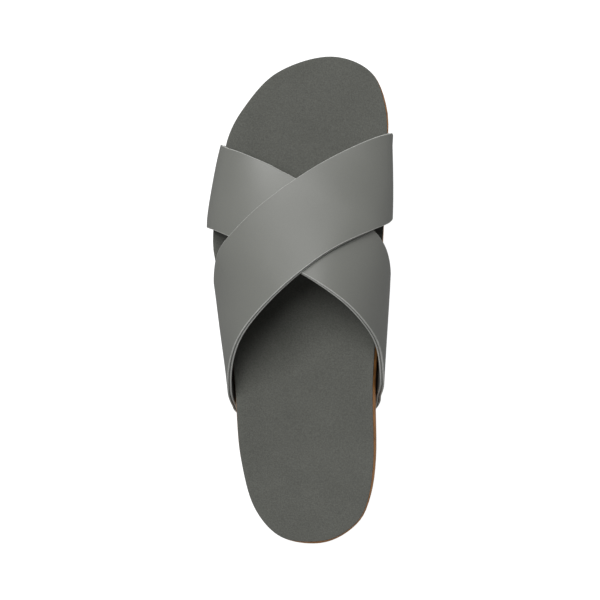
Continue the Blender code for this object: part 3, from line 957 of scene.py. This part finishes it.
def make_insole():
    """Suede cover of the foot bed, its edge cut flush with the block below."""
    insole = add_disc("insole_cover")
    thicken_disc(insole, 1)
    lay(insole, insole_place)
    suede = suede_finish("insole_suede", SUEDE_GREY)
    put_finishes(insole, suede, cut_finish("insole_cut_edge", SUEDE_CUT))
    cut = np.abs(face_normals(insole)[:, 2]) < CUT_FACE_LIMIT
    insole.data.polygons.foreach_set("material_index", np.where(cut, SUEDE_EDGE, SUEDE))
    round_edges(insole, border_edges(insole, SUEDE_EDGE), INSOLE_EDGE_ROUND, INSOLE_EDGE_SEGMENTS, SUEDE)
    smooth_shade(insole, INSOLE_SHARP)
    belongs(insole, "insole")


def make_midsole():
    """Cork block with a softly bulging side and pockets for the strap ends."""
    midsole = add_disc("cork_midsole")
    thicken_disc(midsole, MIDSOLE_ROWS)
    lay(midsole, midsole_place)
    depth = POCKET_ROOM + STRAP_THICKNESS + 2.0 * TAB_GAP
    for cuts in (UNDER_TABLE, OVER_TABLE):
        for side in (-1.0, 1.0):
            pocket = add_grid("pocket", *POCKET_GRID)
            lay(pocket, pocket_place(cuts, side))
            add_modifier(pocket, "SOLIDIFY", thickness=-depth * MM, offset=1.0)
            cut_away(midsole, pocket)
    put_finishes(midsole, cork_finish("midsole_cork"))
    smooth_shade(midsole, SOLE_SHARP)
    belongs(midsole, "midsole")


def make_outsole():
    """Rubber sole with wavy grooves under the heel and the forefoot."""
    outsole = add_disc("rubber_outsole")
    thicken_disc(outsole, OUTSOLE_ROWS)
    lay(outsole, outsole_place)
    for block in TREAD:
        start, end = along_mm(block.rear), along_mm(block.front)
        count = int((end - start) / TREAD_PITCH)
        for number in range(count + 1):
            groove = add_grid("groove", *GROOVE_GRID)
            lay(groove, groove_place(start + number * TREAD_PITCH))
            add_modifier(groove, "SOLIDIFY", thickness=-(TREAD_DEPTH + TREAD_OVERCUT) * MM, offset=1.0)
            groove.name = f"groove_{block.name}_{number}"
    grooves = [made for made in bpy.data.objects if made.name.startswith("groove_")]
    bpy.ops.object.select_all(action="DESELECT")
    for groove in grooves:
        groove.select_set(True)
    bpy.context.view_layer.objects.active = grooves[0]
    bpy.ops.object.join()
    cut_away(outsole, grooves[0])
    put_finishes(outsole, rubber_finish("outsole_rubber"))
    smooth_shade(outsole, SOLE_SHARP)
    belongs(outsole, "outsole")


# Studio

# A glowing floor just under the shoe. Floor and lamps are in metres, power is in watts.
FLOOR_SIZE = 8.0
FLOOR_DROP = 0.0003
FLOOR_GREY = 0.20
FLOOR_GLOW = 1.0
ROOM_LIGHT = 0.20
Lamp = namedtuple("Lamp", "name place size power")
LAMPS = (
    Lamp("key", (-0.308, 0.493, 1.637), 0.9, 33.6),
    Lamp("front", (0.05, 1.480, 0.875), 0.9, 4.5),
)
LAMP_TARGET = (0.0, 0.0, 0.04)

# The photo's view: from 1.5 m above, a little to the big toe's side, with a long lens.
CAMERA_ASIDE = 72.3
CAMERA_AHEAD = 13.9
CAMERA_HEIGHT = 1525.0
CAMERA_TARGET_HEIGHT = 25.0
CAMERA_PLACE = Vector((CAMERA_ASIDE + CENTRE_X, CAMERA_AHEAD + CENTRE_Y, CAMERA_HEIGHT)) * MM
CAMERA_TARGET = Vector((CENTRE_X, CENTRE_Y, CAMERA_TARGET_HEIGHT)) * MM
CAMERA_LENS = 158.9
CAMERA_SENSOR = 36.0


def make_floor():
    """Plain floor that glows white, so that the shoe stands in soft light."""
    bpy.ops.object.select_all(action="DESELECT")
    bpy.ops.mesh.primitive_plane_add(size=FLOOR_SIZE, location=(0.0, 0.0, -FLOOR_DROP))
    floor = new_piece("floor")
    finish = Finish("pale_floor", roughness=0.9, specular=0.1)
    finish.shader.inputs["Base Color"].default_value = (*plain_grey(FLOOR_GREY), 1.0)
    finish.shader.inputs["Emission Color"].default_value = (*WHITE, 1.0)
    finish.shader.inputs["Emission Strength"].default_value = FLOOR_GLOW
    put_finishes(floor, finish.material)
    floor.visible_glossy = False


def add_lamp(lamp):
    """Square soft box that shines at the shoe."""
    bpy.ops.object.light_add(type="AREA", location=lamp.place)
    light = bpy.context.object
    light.name = lamp.name
    light.data.shape = "SQUARE"
    light.data.size = lamp.size
    light.data.energy = lamp.power
    ahead = Vector(LAMP_TARGET) - Vector(lamp.place)
    light.rotation_euler = ahead.to_track_quat("-Z", "Y").to_euler()


def make_light():
    """High soft box from the toe's outer side and a weak one from the front, in an even room."""
    world = bpy.data.worlds.new("studio")
    bpy.context.scene.world = world
    world.use_nodes = True
    room = world.node_tree.nodes["Background"]
    room.inputs["Color"].default_value = (*WHITE, 1.0)
    room.inputs["Strength"].default_value = ROOM_LIGHT
    for lamp in LAMPS:
        add_lamp(lamp)


def make_camera():
    """Camera with its top towards the toe."""
    bpy.ops.object.camera_add(location=CAMERA_PLACE)
    camera = bpy.context.object
    camera.name = "camera"
    camera.data.lens = CAMERA_LENS
    camera.data.sensor_width = CAMERA_SENSOR
    ahead = (CAMERA_TARGET - CAMERA_PLACE).normalized()
    right = ahead.cross(Vector((0.0, 1.0, 0.0))).normalized()
    up = right.cross(ahead)
    camera.rotation_euler = Matrix((right, up, -ahead)).transposed().to_euler()
    bpy.context.scene.camera = camera


strap_finishes = (
    leather_finish("strap_leather", LEATHER_GREY, roughness=0.42, specular=0.82),
    leather_finish("strap_lining", LINING_GREY, roughness=0.62, specular=0.40),
    cut_finish("strap_cut_edge", CUT_EDGE_GREY),
    # The groove's finish: its darker grey is painted shade.
    cut_finish("strap_seam_line", GROOVE_SHADE_GREY),
)
make_outsole()
make_midsole()
make_insole()
make_strap("strap_under", UNDER_TABLE, no_lift, strap_finishes)
make_strap("strap_over", OVER_TABLE, crossing_lift, strap_finishes)
make_floor()
make_light()
make_camera()
bpy.context.scene.view_settings.view_transform = "Standard"
